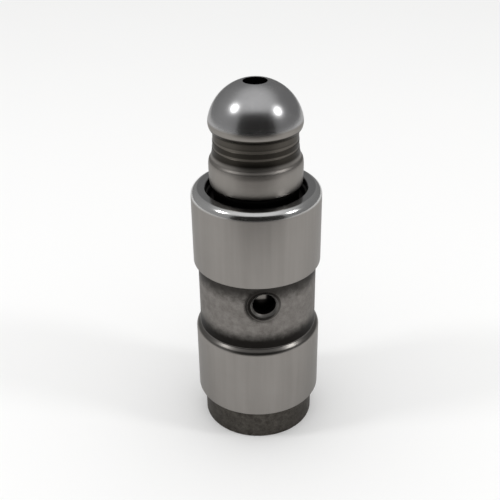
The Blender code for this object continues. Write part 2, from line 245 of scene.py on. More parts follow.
def finishPiece(piece, material, body, node):
    # Gives a piece its smooth shading, its finish and its place in the assembly
    bpy.ops.object.select_all(action="DESELECT")
    bpy.context.view_layer.objects.active = piece
    piece.select_set(True)
    bpy.ops.object.shade_smooth_by_angle(angle=smoothAngle)
    piece.data.materials.clear()
    piece.data.materials.append(material)
    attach(piece, body)
    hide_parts(node)
    print("made", piece.name, len(piece.data.polygons), "faces")


# Body

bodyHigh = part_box("body")[1]
landRadius = bodyHigh.x / mm
mouthHeight = bodyHigh.z / mm

bodySettings = {
    "footStep": 0.63,
    "footHeight": 3.02,
    "footTaper": 0.33,
    "footEdge": 0.15,
    "lowerLand": 6.82,
    "landRounding": 0.6,
    "ledgeSlope": math.radians(47.5),
    "ledgeFillet": 0.15,
    "grooveDepth": 0.41,
    "upperLand": 7.45,
    "edge": 0.10,
    "mouthRise": 0.76,
    "mouthArc": math.radians(68),
    "wall": 1.35,
    "floor": 2.5,
    "floorFillet": 0.3,
    "ringLip": 0.55,
    "ringGroove": 0.6,
    "ringGrooveDepth": 0.28,
    "holeRadius": 1.05,
    "holeEdge": 0.2,
    "sinkDepth": 0.145,
    "sinkAngle": math.radians(54),
    "sinkBelowLand": 0.62,
    "drillReach": 0.5,
    "footTopRounding": 0.06,
    "landStartRounding": 0.05,
    "mouthRounding": 0.04,
    "holeRounding": 0.05,
    "steps": 192,
    "landArcSteps": 10,
    "ledgeArcSteps": 8,
    "mouthArcSteps": 16,
    "floorArcSteps": 6,
    "grooveRows": 18,
    "holeSteps": 72,
    # A pattern goes from the first of two colours to the second.
    "landColours": ((0.2, 0.188, 0.175), (0.33, 0.312, 0.295)),
    "grooveColours": ((0.15, 0.138, 0.128), (0.27, 0.255, 0.24)),
    "footColours": ((0.04, 0.036, 0.031), (0.12, 0.11, 0.098)),
    # Old dark skin with painted shade over it, for the groove's corners and the countersink
    "skinAndShadeColours": ((0.008, 0.007, 0.0065), (0.022, 0.02, 0.018)),
    "mouthColours": ((0.62, 0.62, 0.615), (0.4, 0.4, 0.4)),
    "ledgeColour": (0.16, 0.152, 0.143),
    # Painted highlight on the oil hole's edge
    "holeGlintColour": (0.16, 0.155, 0.148),
    # Painted shade inside the oil hole
    "holeShadeColour": (0.01, 0.009, 0.009),
    # Painted shade for the bore inside the body
    "boreShadeColour": (0.03, 0.028, 0.027),
    "roughness": 0.31,
    "reliefDepth": 0.0015,
}


def bodyHeights():
    shape = bodySettings
    grooveRadius = landRadius - shape["grooveDepth"]
    sinkWidth = shape["sinkDepth"] * math.tan(shape["sinkAngle"])
    sinkRadius = shape["holeRadius"] + shape["holeEdge"] + sinkWidth
    grooveTop = mouthHeight - shape["upperLand"]
    return {
        "grooveRadius": grooveRadius,
        "sinkRadius": sinkRadius,
        "grooveTop": grooveTop,
        "holeHeight": grooveTop - shape["sinkBelowLand"] - sinkRadius,
        "lowerLandTop": shape["footHeight"] + shape["footTaper"] + shape["lowerLand"],
    }


def makeBody():
    shape = bodySettings
    at = bodyHeights()
    footRadius = landRadius - shape["footStep"]
    boreRadius = landRadius - shape["wall"]
    landStart = shape["footHeight"] + shape["footTaper"]
    edge = shape["edge"]
    outline = [(0, 0), (footRadius, 0), (footRadius, shape["footHeight"])]
    outline += [(landRadius - edge, landStart - edge), (landRadius, landStart)]

    # The lower land is rounded over into a sloped ledge, which runs out into the groove.
    rounding, slope, fillet = shape["landRounding"], shape["ledgeSlope"], shape["ledgeFillet"]
    lean = math.degrees(slope)
    landCentre = (landRadius - rounding, at["lowerLandTop"])
    outline += arc(*landCentre, rounding, rounding, 0, lean, shape["landArcSteps"])
    ledgeWidth = shape["grooveDepth"] - (rounding + fillet) * (1 - math.cos(slope))
    ledgeRise = ledgeWidth / math.tan(slope)
    runOutStart = at["lowerLandTop"] + (rounding + fillet) * math.sin(slope) + ledgeRise
    ledgeCentre = (at["grooveRadius"] + fillet, runOutStart)
    outline += arc(*ledgeCentre, fillet, fillet, 180 + lean, 180, shape["ledgeArcSteps"])
    rows = shape["grooveRows"]
    rowHeight = (at["grooveTop"] - runOutStart) / rows
    outline += [(at["grooveRadius"], runOutStart + rowHeight * row) for row in range(1, rows + 1)]
    outline += [(landRadius - edge, at["grooveTop"]), (landRadius, at["grooveTop"] + edge)]
    mouth = shape["mouthRise"] / math.sin(shape["mouthArc"])
    mouthCentre = (landRadius - mouth, mouthHeight - shape["mouthRise"])
    mouthEnd = math.degrees(shape["mouthArc"])
    outline += arc(*mouthCentre, mouth, mouth, 0, mouthEnd, shape["mouthArcSteps"])
    mouthCorner = outline[-1]
    outline += [(boreRadius + edge, mouthHeight), (boreRadius, mouthHeight - edge)]
    ringTop = mouthHeight - shape["ringLip"]
    ringBottom = ringTop - shape["ringGroove"]
    ringRadius = boreRadius + shape["ringGrooveDepth"]
    outline += [(boreRadius, ringTop), (ringRadius, ringTop)]
    outline += [(ringRadius, ringBottom), (boreRadius, ringBottom)]
    fillet = shape["floorFillet"]
    floorCentre = (boreRadius - fillet, shape["floor"] + fillet)
    outline += arc(*floorCentre, fillet, fillet, 360, 270, shape["floorArcSteps"])
    outline += [(0, shape["floor"])]
    upperLand = [(landRadius - edge, at["grooveTop"]), (landRadius, at["grooveTop"] + edge)]
    roundings = [
        (shape["footEdge"], [(footRadius, 0)]),
        (shape["footTopRounding"], [(footRadius, shape["footHeight"])]),
        (shape["landStartRounding"], [(landRadius - edge, landStart - edge), (landRadius, landStart)]),
        (shape["mouthRounding"], [*upperLand, mouthCorner]),
    ]
    body = turnOnLathe("tappet_body", outline, shape["steps"], roundings)

    # The drill comes in from the front and cuts the hole, its softened edge and its countersink.
    hole = shape["holeRadius"]
    inside = boreRadius - shape["drillReach"]
    sinkStart = at["grooveRadius"] - shape["sinkDepth"]
    holeEdge = [(hole, sinkStart - shape["holeEdge"]), (hole + shape["holeEdge"], sinkStart)]
    drill = [(0, inside), (hole, inside), *holeEdge]
    drill += [(at["sinkRadius"], at["grooveRadius"]), (at["sinkRadius"], landRadius), (0, landRadius)]
    soft = [(shape["holeRounding"], holeEdge)]
    drillOut(body, drill, shape["holeSteps"], (0, 0, at["holeHeight"]), (math.pi / 2, 0, 0), soft)
    return body


def bodyFinish():
    look = bodySettings
    at = bodyHeights()
    lowerLandTop, grooveTop, grooveRadius = at["lowerLandTop"], at["grooveTop"], at["grooveRadius"]
    boreRadius = landRadius - look["wall"]
    footTop = look["footHeight"]
    hole = look["holeRadius"]
    steel = Finish("ground_body_steel")
    height = steel.height
    radius = steel.radius

    # Masks for the parts of the surface, each 1 on its part
    # The bore and the inside of the body are painted dark as shade.
    bore = 1 - radius.rise(boreRadius + 0.01, boreRadius + 0.09)
    foot = 1 - height.rise(footTop + 0.08, footTop + 0.28)
    ledge = height.band(lowerLandTop + 0.25, lowerLandTop + 0.85, 0.08)
    groove = height.band(lowerLandTop + 0.7, grooveTop + 0.02, 0.05)
    groove = groove * (1 - radius.rise(grooveRadius + 0.13, grooveRadius + 0.26))
    mouth = height.rise(mouthHeight - 0.75, mouthHeight - 0.45)
    rimTop = mouth * (1 - radius.rise(landRadius - 0.65, landRadius - 0.53))

    # How far a point on the front is from the oil hole's axis
    lift = height - at["holeHeight"]
    fromHole = (steel.x * steel.x + lift * lift) ** 0.5 + steel.y.rise(-3, -1) * 9

    # Grinding leaves fine rings round the lands and faint bands along them.
    rings = steel.grain(0.35, 38, 4, 0.7)
    bands = steel.grain(1.3, 0.06, 3, 0.6)
    clouds = steel.grain(0.3, 0.25, 3, 0.5)
    blots = steel.grain(1.5, 1.7, 5, 0.65)
    specks = steel.grain(9, 9, 3, 0.7)

    landTone = (bands * 0.5 + rings * 0.2 + clouds * 0.3).tone(*look["landColours"])
    grooveTone = (blots * 0.7 + specks * 0.3).rise(0.25, 0.75).tone(*look["grooveColours"])
    footTone = (blots * 0.6 + specks * 0.4).rise(0.3, 0.7).tone(*look["footColours"])

    # Painted shade, over the old dark skin, darkens the groove's corners at its bottom and under the upper
    # land at its top.
    skinAndShade = (blots * 0.6 + specks * 0.4).tone(*look["skinAndShadeColours"])
    below = 1 - (height + blots * 0.5).rise(lowerLandTop + 1.55, lowerLandTop + 3.05)
    above = (height - blots * 0.7).rise(grooveTop - 2.55, grooveTop - 0.85)
    grooveTone = below.most(above * 0.85).tone(grooveTone, skinAndShade)

    # The same dark tone is painted in the countersink and in patches round it, most of all on the left. A
    # painted highlight rings the hole's edge, and the inside of the hole is painted black as shade.
    sunk = fromHole.band(hole + 0.22, hole + 0.47, 0.05) * (0.85 - (steel.x - lift) * 0.15)
    patches = (fromHole + blots * 0.5).band(hole + 0.69, hole + 1.05, 0.2)
    sunk = sunk + patches * (0.5 - steel.x * 0.28)
    grooveTone = sunk.tone(grooveTone, skinAndShade)
    grooveTone = fromHole.band(hole + 0.07, hole + 0.22, 0.035).tone(grooveTone, look["holeGlintColour"])
    grooveTone = (1 - fromHole.rise(hole - 0.01, hole + 0.03)).tone(grooveTone, look["holeShadeColour"])

    colour = ledge.tone(landTone, look["ledgeColour"])
    colour = groove.tone(colour, grooveTone)
    colour = foot.tone(colour, footTone)
    colour = mouth.tone(colour, rimTop.tone(*look["mouthColours"]))
    colour = bore.tone(colour, look["boreShadeColour"])

    roughness = look["roughness"] + rings * 0.05 + clouds * 0.03
    roughness = roughness + groove * (0.06 + blots * 0.12)
    roughness = roughness + foot * (0.12 + blots * 0.15) - mouth * 0.17 - ledge * 0.05
    relief = rings * 0.6 + bands * 0.2
    relief = relief + groove * blots * 3 + foot * blots * 4 + specks * (groove + foot)
    return steel.wear(colour, roughness, relief, look["reliefDepth"])


# Ball plunger

plungerLow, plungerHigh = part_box("ball_plunger")
guideRadius = plungerHigh.x / mm
plungerBottom = plungerLow.z / mm
ringLow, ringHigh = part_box("retaining_ring")
ringClearance = 0.02
guideTop = ringLow.z / mm - ringClearance

plungerSettings = {
    "bevel": 0.15,
    "collar": 0.8,
    "waistDepth": 0.65,
    "waistLength": 4.9,
    "shankStep": 0.72,
    "shankWall": 0.8,
    "shoulderRadius": 4.28,
    "shoulderAboveMouth": 0.47,
    "shoulderBulge": 0.11,
    "shoulderRise": 1.77,
    "flareRise": 1.72,
    "flareEdge": 0.11,
    "flareEdgeShare": 0.2,
    "stepRise": 0.65,
    "stepWidth": 0.03,
    "neckDepth": 0.45,
    "neckRise": 0.93,
    "overhang": 0.37,
    "underRise": 0.98,
    "domeOverBall": 0.073,
    "holeRadius": 1.055,
    "holeBevel": 0.08,
    "feedRadius": 0.9,
    "drillPoint": math.radians(59),
    "shoulderRounding": 0.03,
    "rimRounding": 0.015,
    "waistRounding": 0.05,
    "steps": 192,
    "shoulderArcSteps": 14,
    "flareRows": 40,
    "underArcSteps": 20,
    "domeArcSteps": 40,
    "feedSteps": 48,
    "shankColours": ((0.19, 0.178, 0.165), (0.31, 0.292, 0.272)),
    "domeColours": ((0.38, 0.378, 0.385), (0.53, 0.528, 0.53)),
    "neckColours": ((0.018, 0.016, 0.013), (0.05, 0.045, 0.039)),
    # Painted highlight colour for the neck's steps and the band under the ball
    "neckHighlightColour": (0.11, 0.1, 0.088),
    "gapShadeColour": (0.025, 0.023, 0.022),
    "waistShadeColour": (0.02, 0.018, 0.017),
    "roughness": 0.3,
    "reliefDepth": 0.0012,
}


def plungerHeights():
    shape = plungerSettings
    shoulderEdge = mouthHeight + shape["shoulderAboveMouth"]
    shoulder = shoulderEdge + shape["shoulderRise"]
    lowerStep = shoulder + shape["flareRise"]
    upperStep = lowerStep + shape["stepRise"]
    neckTop = upperStep + shape["neckRise"]
    return {
        "shoulderEdge": shoulderEdge,
        "shoulder": shoulder,
        "lowerStep": lowerStep,
        "upperStep": upperStep,
        "neckTop": neckTop,
        "ball": neckTop + shape["underRise"],
    }


def makeBallPlunger():
    shape = plungerSettings
    at = plungerHeights()
    bevel = shape["bevel"]
    waistBottom = plungerBottom + shape["collar"]
    waistTop = waistBottom + shape["waistLength"]
    waistRadius = guideRadius - shape["waistDepth"]
    shankRadius = guideRadius - shape["shankStep"]
    reservoirRadius = shankRadius - shape["shankWall"]
    neckRadius = shape["shoulderRadius"] - shape["neckDepth"]
    outline = [(guideRadius - bevel, plungerBottom), (guideRadius, plungerBottom + bevel)]
    outline += [(guideRadius, waistBottom - bevel), (waistRadius, waistBottom), (waistRadius, waistTop)]
    outline += [(guideRadius, waistTop + shape["waistDepth"]), (guideRadius, guideTop - bevel)]
    outline += [(guideRadius - bevel, guideTop), (shankRadius, guideTop)]
    edgeRadius = shape["shoulderRadius"] - shape["shoulderBulge"]
    outline += [(shankRadius, at["shoulderEdge"] - (edgeRadius - shankRadius))]
    bulge = (shape["shoulderBulge"], shape["shoulderRise"])
    outline += arc(edgeRadius, at["shoulder"], *bulge, 270, 360, shape["shoulderArcSteps"])

    # The flare eases from the shoulder, over a soft edge, into two fine turned steps under the neck.
    stepRadius = neckRadius + 2 * shape["stepWidth"]
    flareWidth = shape["shoulderRadius"] - stepRadius - shape["flareEdge"]
    for row in range(1, shape["flareRows"] + 1):
        share = row / shape["flareRows"]
        eased = 0.5 + 0.5 * math.cos(math.pi * share)
        edgeShare = min(1, max(0, (0.5 - share) / shape["flareEdgeShare"]))
        edge = shape["flareEdge"] * (0.5 - 0.5 * math.cos(math.pi * edgeShare))
        height = at["shoulder"] + shape["flareRise"] * share
        outline.append((stepRadius + flareWidth * eased + edge, height))
    step = shape["stepWidth"]
    outline += [(stepRadius - step, at["lowerStep"] + step), (stepRadius - step, at["upperStep"])]
    outline += [(neckRadius, at["upperStep"] + step)]

    # The underside runs smoothly into the dome, which goes up to the rim of its oil hole.
    ballRadius = neckRadius + shape["overhang"]
    domeRadius = ballRadius + shape["domeOverBall"]
    domeCentre = at["ball"] - math.sqrt(domeRadius**2 - ballRadius**2)
    domeStart = math.degrees(math.acos(ballRadius / domeRadius))
    lean = math.tan(math.radians(domeStart)) * shape["underRise"] / shape["overhang"]
    underEnd = math.degrees(math.asin(lean / (1 + lean)))
    underHeight = shape["underRise"] * (1 + lean) / (1 + 2 * lean)
    underWidth = shape["overhang"] / math.cos(math.radians(underEnd))
    underCentre = (neckRadius, at["neckTop"] + underHeight)
    outline += arc(*underCentre, underWidth, underHeight, -90, underEnd, shape["underArcSteps"])
    rimRadius = shape["holeRadius"] + shape["holeBevel"]
    domeEnd = math.degrees(math.acos(rimRadius / domeRadius))
    dome = arc(0, domeCentre, domeRadius, domeRadius, domeStart, domeEnd, shape["domeArcSteps"])
    outline += dome[1:]
    rim = [dome[-1], (shape["holeRadius"], dome[-1][1] - shape["holeBevel"] / 2)]
    outline += rim[1:]
    coneRise = (reservoirRadius - shape["holeRadius"]) / math.tan(shape["drillPoint"])
    outline += [(shape["holeRadius"], at["shoulder"] + coneRise), (reservoirRadius, at["shoulder"])]
    outline += [(reservoirRadius, plungerBottom + bevel), (reservoirRadius + bevel, plungerBottom)]
    outline += [outline[0]]
    roundings = [
        (shape["shoulderRounding"], [(edgeRadius, at["shoulderEdge"])]),
        (shape["rimRounding"], rim),
        (shape["waistRounding"], [(waistRadius, waistBottom), (waistRadius, waistTop)]),
    ]
    plunger = turnOnLathe("ball_end_plunger", outline, shape["steps"], roundings)

    # The feed hole goes through the waist at the back.
    feed = shape["feedRadius"]
    inside = reservoirRadius - feed
    drill = [(0, inside), (feed, inside), (feed, guideRadius), (0, guideRadius)]
    middle = (waistBottom + waistTop) / 2
    drillOut(plunger, drill, shape["feedSteps"], (0, 0, middle), (-math.pi / 2, 0, 0))
    return plunger


def plungerFinish():
    look = plungerSettings
    at = plungerHeights()
    hole = look["holeRadius"]
    steel = Finish("polished_plunger_steel")
    height = steel.height
    shoulder, lowerStep = at["shoulder"], at["lowerStep"]
    upperStep, neckTop = at["upperStep"], at["neckTop"]
    dome = height.rise(neckTop + 0.8, neckTop + 1.1)
    neck = height.rise(lowerStep - 0.75, lowerStep - 0.45)
    neck = neck * (1 - height.rise(neckTop + 0.3, neckTop + 0.4))
    rings = steel.grain(0.3, 30, 4, 0.7)
    bands = steel.grain(1.2, 0.2, 3, 0.6)
    smudges = steel.grain(0.55, 0.5, 4, 0.55)
    scuffs = steel.grain(3.2, 3.2, 5, 0.7)

    shankTone = (rings * 0.4 + bands * 0.3 + smudges * 0.3).tone(*look["shankColours"])
    domeTone = (smudges * 0.6 + scuffs * 0.4).tone(*look["domeColours"])
    colour = dome.tone(shankTone, domeTone)

    # The neck is left dark, with painted highlights on its two steps and a painted sheen under the ball.
    neckTone = (rings * 0.6 + scuffs * 0.4).tone(*look["neckColours"])
    litBand = height.band(upperStep + 0.02, upperStep + 0.27, 0.05)
    litBand = litBand.most(height.band(lowerStep + 0.02, lowerStep + 0.2, 0.05))
    upper = height.rise(upperStep + 0.1, upperStep + 0.5)
    upper = upper * (1 - height.rise(neckTop - 0.2, neckTop - 0.05))
    neckTone = litBand.most(upper * 0.55).tone(neckTone, look["neckHighlightColour"])
    colour = neck.tone(colour, neckTone)

    # Painted shade darkens the hole through the ball and the shank in the body's mouth.
    gapShade = 1 - steel.radius.rise(hole + 0.005, hole + 0.045)
    gapShade = gapShade * height.rise(mouthHeight, mouthHeight + 0.5)
    gapShade = gapShade.most(height.band(guideTop - 1.2, mouthHeight + 0.4, 0.5))
    colour = gapShade.tone(colour, look["gapShadeColour"])

    # Painted shade darkens the waist inside the body, but for a band behind the body's oil hole, left
    # lighter as a painted reflection seen through the hole.
    holeHeight = bodyHeights()["holeHeight"]
    waist = 1 - steel.radius.rise(guideRadius - 0.4, guideRadius - 0.3)
    litBand = height.band(holeHeight - 0.18, holeHeight + 0.3, 0.12) * steel.x.band(-0.66, 0.33, 0.12)
    shadedWaist = waist * (1 - height.rise(guideTop - 1, guideTop)) * (1 - litBand)
    colour = shadedWaist.tone(colour, look["waistShadeColour"])

    # The flare's soft edge is the dullest place, with the deepest turning marks.
    flare = height.band(shoulder + 0.35, shoulder + 1.0, 0.15)
    roughness = look["roughness"] + smudges * 0.06 + rings * 0.04 - dome * 0.09 + flare * 0.07
    relief = rings * (1.2 - dome + flare * 6) + scuffs * 0.15
    return steel.wear(colour, roughness, relief, look["reliefDepth"])


# Snap ring

ringSettings = {
    "gap": math.radians(34),
    "sides": 24,
    "steps": 163,
    "colours": ((0.02, 0.019, 0.018), (0.07, 0.067, 0.063)),
    "roughness": 0.32,
}


def makeSnapRing():
    shape = ringSettings
    wireRadius = (ringHigh.z - ringLow.z) / 2 / mm
    ringRadius = ringHigh.x / mm - wireRadius
    ringHeight = (ringHigh.z + ringLow.z) / 2 / mm
    start = math.pi / 2 + shape["gap"] / 2
    place = Vector((ringRadius * math.cos(start), ringRadius * math.sin(start), ringHeight)) * mm
    bpy.ops.object.select_all(action="DESELECT")
    bpy.ops.mesh.primitive_circle_add(
        vertices=shape["sides"],
        radius=wireRadius * mm,
        location=place,
        rotation=(math.pi / 2, 0, start),
    )
    ring = bpy.context.object
    ring.name = "snap_ring"
    bpy.ops.object.transform_apply()
    bpy.ops.object.mode_set(mode="EDIT")
    bpy.ops.mesh.select_all(action="SELECT")
    bpy.ops.mesh.spin(
        steps=shape["steps"], angle=2 * math.pi - shape["gap"], center=(0, 0, 0), axis=(0, 0, 1)
    )
    bpy.ops.mesh.select_all(action="SELECT")
    bpy.ops.mesh.fill_holes(sides=0)
    tidyMesh()
    bpy.ops.object.mode_set(mode="OBJECT")
    return ring


def wireFinish(name, look):
    # Drawn wire, with fine lines round the axis and blots of oil
    steel = Finish(name)
    lines = steel.grain(1.2, 14, 4, 0.65)
    blots = steel.grain(2.2, 2.2, 4, 0.6)
    colour = (lines * 0.5 + blots * 0.5).rise(0.25, 0.75).tone(*look["colours"])
    return steel.wear(colour, look["roughness"] + blots * 0.12, lines + blots, 0.001)


# Springs

plungerSpring = {
    "wire": 0.6,
    "radius": 4.0,
    "turns": 5.5,
    "stepsPerTurn": 64,
    "sides": 20,
    "colours": ((0.2, 0.19, 0.18), (0.44, 0.42, 0.4)),
    "roughness": 0.24,
}

checkSpring = {
    "wire": 0.2,
    "radius": 0.75,
    "turns": 4,
    "stepsPerTurn": 48,
    "sides": 14,
    "colours": ((0.24, 0.23, 0.22), (0.48, 0.47, 0.45)),
    "roughness": 0.22,
}

springEnds = {
    "closedTurns": 0.9,
    "closedPitch": 1.08,
    "groundShare": 0.3,
}


def windSpring(name, spring, node):
    # A wire section is screwed about Z, its end turns are closed up and its ends ground flat.
    low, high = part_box(node)
    bottom, top = low.z / mm, high.z / mm
    wire = spring["wire"]
    turns = spring["turns"]
    steps = round(turns * spring["stepsPerTurn"])
    first = bottom + wire / 2 - wire * springEnds["groundShare"]
    last = top - wire / 2 + wire * springEnds["groundShare"]
    bpy.ops.object.select_all(action="DESELECT")
    bpy.ops.mesh.primitive_circle_add(
        vertices=spring["sides"],
        radius=wire / 2 * mm,
        location=(spring["radius"] * mm, 0, 0),
        rotation=(math.pi / 2, 0, 0),
    )
    piece = bpy.context.object
    piece.name = name
    bpy.ops.object.transform_apply()
    coil = piece.modifiers.new("coil", "SCREW")
    coil.axis = "Z"
    coil.angle = 2 * math.pi * turns
    coil.steps = steps
    coil.render_steps = steps
    coil.screw_offset = 0
    coil.use_merge_vertices = False
    bpy.ops.object.modifier_apply(modifier=coil.name)

    # Each section is lifted to its height along the coil.
    closedPitch = wire * springEnds["closedPitch"]
    closed = springEnds["closedTurns"]
    openPitch = (last - first - 2 * closed * closedPitch) / (turns - 2 * closed)
    for number, point in enumerate(piece.data.vertices):
        turn = (number // spring["sides"]) / spring["stepsPerTurn"]
        lowTurns = min(turn, closed)
        highTurns = max(0, turn - (turns - closed))
        middle = turn - lowTurns - highTurns
        point.co.z += (first + (lowTurns + highTurns) * closedPitch + middle * openPitch) * mm
    bpy.ops.object.mode_set(mode="EDIT")
    bpy.ops.mesh.select_all(action="SELECT")
    bpy.ops.mesh.fill_holes(sides=0)
    for height, way in ((bottom, -1), (top, 1)):
        bpy.ops.mesh.select_all(action="SELECT")
        bpy.ops.mesh.bisect(
            plane_co=(0, 0, height * mm), plane_no=(0, 0, way), use_fill=True, clear_outer=True
        )
    tidyMesh()
    bpy.ops.object.mode_set(mode="OBJECT")
    return piece


# Lower plunger, check ball and cage

lowerPlunger = {
    "bevel": 0.15,
    "bowlDepth": 1.6,
    "bowlRadius": 3.105,
    "drillPoint": math.radians(59),
    "seatLand": 0.1,
    "recessDepth": 0.6,
    "recessRadius": 2.0,
    "edgeRounding": 0.04,
    "steps": 128,
    "colours": ((0.36, 0.35, 0.33), (0.56, 0.55, 0.53)),
    "roughness": 0.16,
    "linesPerMm": 22,
}

checkBall = {
    "radius": 1.25,
    "arcSteps": 32,
    "steps": 64,
    "colours": ((0.55, 0.55, 0.55), (0.68, 0.68, 0.68)),
    "roughness": 0.05,
    "linesPerMm": 2,
}

ballCage = {
    "sheet": 0.3,
    "sideClearance": 0.45,
    "ventRadius": 0.5,
    "steps": 128,
    "arcSteps": 8,
    "ventSteps": 32,
    "colours": ((0.34, 0.33, 0.31), (0.54, 0.52, 0.5)),
    "roughness": 0.3,
    "linesPerMm": 6,
}


def makeLowerPlunger():
    shape = lowerPlunger
    ballRadius = checkBall["radius"]
    low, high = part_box("lower_plunger")
    bottom, top = low.z / mm, high.z / mm
    radius = high.x / mm
    bevel = shape["bevel"]
    seatRadius = ballRadius * math.sin(math.pi / 4) - shape["seatLand"]
    coneBottom = bottom + shape["recessDepth"]
    seatTop = coneBottom + ballRadius - seatRadius
    bowl = shape["bowlRadius"]
    coneTop = top - shape["bowlDepth"]
    coneDepth = (bowl - seatRadius) / math.tan(shape["drillPoint"])
    outline = [(radius - bevel, bottom), (radius, bottom + bevel), (radius, top - bevel)]
    outline += [(radius - bevel, top), (bowl + bevel, top), (bowl, top - bevel), (bowl, coneTop)]
    outline += [(seatRadius, coneTop - coneDepth), (seatRadius, seatTop), (ballRadius, coneBottom)]
    outline += [(shape["recessRadius"], coneBottom), (shape["recessRadius"], bottom)]
    outline += [outline[0]]
    edges = [(radius, bottom + bevel), (radius, top - bevel), (bowl, coneTop)]
    roundings = [(shape["edgeRounding"], edges)]
    return turnOnLathe("leak_down_plunger", outline, shape["steps"], roundings)


def makeCheckBall():
    low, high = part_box("check_ball")
    radius = checkBall["radius"]
    centre = (low.z + high.z) / 2 / mm
    outline = arc(0, centre, radius, radius, -90, 90, checkBall["arcSteps"])
    return turnOnLathe("valve_ball", outline, checkBall["steps"])


def makeCage():
    shape = ballCage
    low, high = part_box("check_ball_cage")
    bottom, top = low.z / mm, high.z / mm
    sheet = shape["sheet"]
    inner = checkBall["radius"] + shape["sideClearance"]
    outer = inner + sheet
    flange = high.x / mm
    arcSteps = shape["arcSteps"]
    outline = [(0, bottom)] + arc(inner, bottom + sheet, sheet, sheet, 270, 360, arcSteps)
    outline += [(outer, top - sheet), (flange, top - sheet), (flange, top)]
    outline += arc(outer, top - sheet, sheet, sheet, 90, 180, arcSteps)
    outline += [(inner, bottom + sheet), (0, bottom + sheet)]
    cage = turnOnLathe("valve_cage", outline, shape["steps"])
    reach = outer + sheet
    vent = shape["ventRadius"]
    drill = [(0, -reach), (vent, -reach), (vent, reach), (0, reach)]
    middle = (bottom + top) / 2
    for turn in (0, math.pi / 2):
        drillOut(cage, drill, shape["ventSteps"], (0, 0, middle), (0, math.pi / 2, turn))
    return cage


def innerFinish(name, look):
    # Turned or pressed steel, with fine rings and a film of oil in patches
    steel = Finish(name)
    rings = steel.grain(0.4, look["linesPerMm"], 4, 0.65)
    film = steel.grain(1.1, 1.1, 4, 0.55)
    colour = (rings * 0.5 + film * 0.5).rise(0.2, 0.8).tone(*look["colours"])
    return steel.wear(colour, look["roughness"] + film * 0.08, rings + film * 0.3, 0.001)


# Studio

studio = {
    "floorSize": 3000,
    "floorColour": (0.93, 0.93, 0.925),
    "floorPatches": 0.985,
    "worldLight": 0.9,
    "lampPower": 0.075,
    "aimHeight": 20,
    "cameraTurn": math.radians(-6.2),
    # Azimuth from the camera's side, elevation, distance, width and height
    "lamps": [(-76, 46, 220, 38, 44), (71, 40, 220, 38, 44)],
    "tentRadius": 290,
    "tentRows": 24,
    "tentSteps": 64,
    # Seen from tentEye above the floor, the tent brightens between these two sines of elevation.
    "tentEye": 30,
    "tentRise": (0.62, 0.97),
    "tentLean": 0.08,
    "tentWall": 0.30,
    "tentLeft": 0.12,
    "tentTop": 0.80,
    "tentFront": 0.18,
    "darkDistance": 120,
    "darkWidth": 252,
    "darkSide": 6,
    "darkHeight": 180,
    "darkColour": (0.02, 0.019, 0.018),
    "greyNear": 50,
    "greyHeight": 0.5,
    "greyWidth": 190,
    "greyColour": (0.35, 0.34, 0.33),
}


def around(azimuth, elevation, distance):
    # A place round the tappet, with azimuth 0 at the camera's side and more of it to the right
    turn = math.radians(azimuth) + studio["cameraTurn"]
    rise = math.radians(elevation)
    direction = Vector((math.sin(turn) * math.cos(rise), -math.cos(turn) * math.cos(rise), math.sin(rise)))
    return Vector((0, 0, studio["aimHeight"] * mm)) + direction * distance * mm


def makeFloor():
    bpy.ops.object.select_all(action="DESELECT")
    bpy.ops.mesh.primitive_plane_add(size=studio["floorSize"] * mm)
    floor = bpy.context.object
    floor.name = "floor"
    paper = Finish("floor_paper", metallic=0.0)
    patches = [studio["floorPatches"] * part for part in studio["floorColour"]]
    shade = paper.grain(0.02, 0.02, 2, 0.5).tone(studio["floorColour"], patches)
    paper.root.tree.links.new(shade.socket, paper.shader.inputs["Base Color"])
    paper.shader.inputs["Roughness"].default_value = 0.7
    paper.shader.inputs["Specular IOR Level"].default_value = 0.0
    floor.data.materials.append(paper.material)
    print("floor ready")


def showInSteelOnly(thing):
    # Leaves a thing to be seen only in what is mirrored
    thing.visible_camera = False
    thing.visible_diffuse = False
    thing.visible_shadow = False
    thing.visible_transmission = False


def makeTent():
    # A cloth tent round the tappet, bright overhead and dim at its walls
    radius = studio["tentRadius"]
    outline = arc(0, 0, radius, radius, 0, 90, studio["tentRows"])
    tent = turnOnLathe("tent", outline, studio["tentSteps"])
    showInSteelOnly(tent)
    cloth = Finish("tent_cloth", metallic=0.0)
    lift = cloth.height - studio["tentEye"]
    away = (cloth.x * cloth.x + cloth.y * cloth.y + lift * lift) ** 0.5
    turn = studio["cameraTurn"]
    toRight = (cloth.x * math.cos(turn) + cloth.y * math.sin(turn)) / away
    toFront = (cloth.x * math.sin(turn) - cloth.y * math.cos(turn)) / away
    steepness = lift / away
    wall = studio["tentWall"] - toRight * (studio["tentLeft"] / 2)
    overhead = studio["tentTop"] + toFront * studio["tentFront"]
    share = (steepness + toFront * studio["tentLean"]).rise(*studio["tentRise"])
    light = (wall + share * (overhead - wall)).tone((0, 0, 0), (1, 1, 1))
    cloth.root.tree.links.new(light.socket, cloth.shader.inputs["Emission Color"])
    cloth.shader.inputs["Emission Strength"].default_value = 1.0
    cloth.shader.inputs["Base Color"].default_value = (0, 0, 0, 1)
    cloth.shader.inputs["Specular IOR Level"].default_value = 0.0
    tent.data.materials.append(cloth.material)
    print("tent ready")


def makeCard(name, size, place, rotation, colour):
    # A flat card of one dull colour for the steel to mirror
    bpy.ops.object.select_all(action="DESELECT")
    bpy.ops.mesh.primitive_plane_add(size=1, location=Vector(place) * mm, rotation=rotation)
    card = bpy.context.object
    card.name = name
    card.scale = (size[0] * mm, size[1] * mm, 1)
    showInSteelOnly(card)
    cloth = Finish(name + "_cloth", metallic=0.0)
    cloth.shader.inputs["Base Color"].default_value = (*colour, 1)
    cloth.shader.inputs["Roughness"].default_value = 1.0
    cloth.shader.inputs["Specular IOR Level"].default_value = 0.0
    card.data.materials.append(cloth.material)
    print(name, "ready")


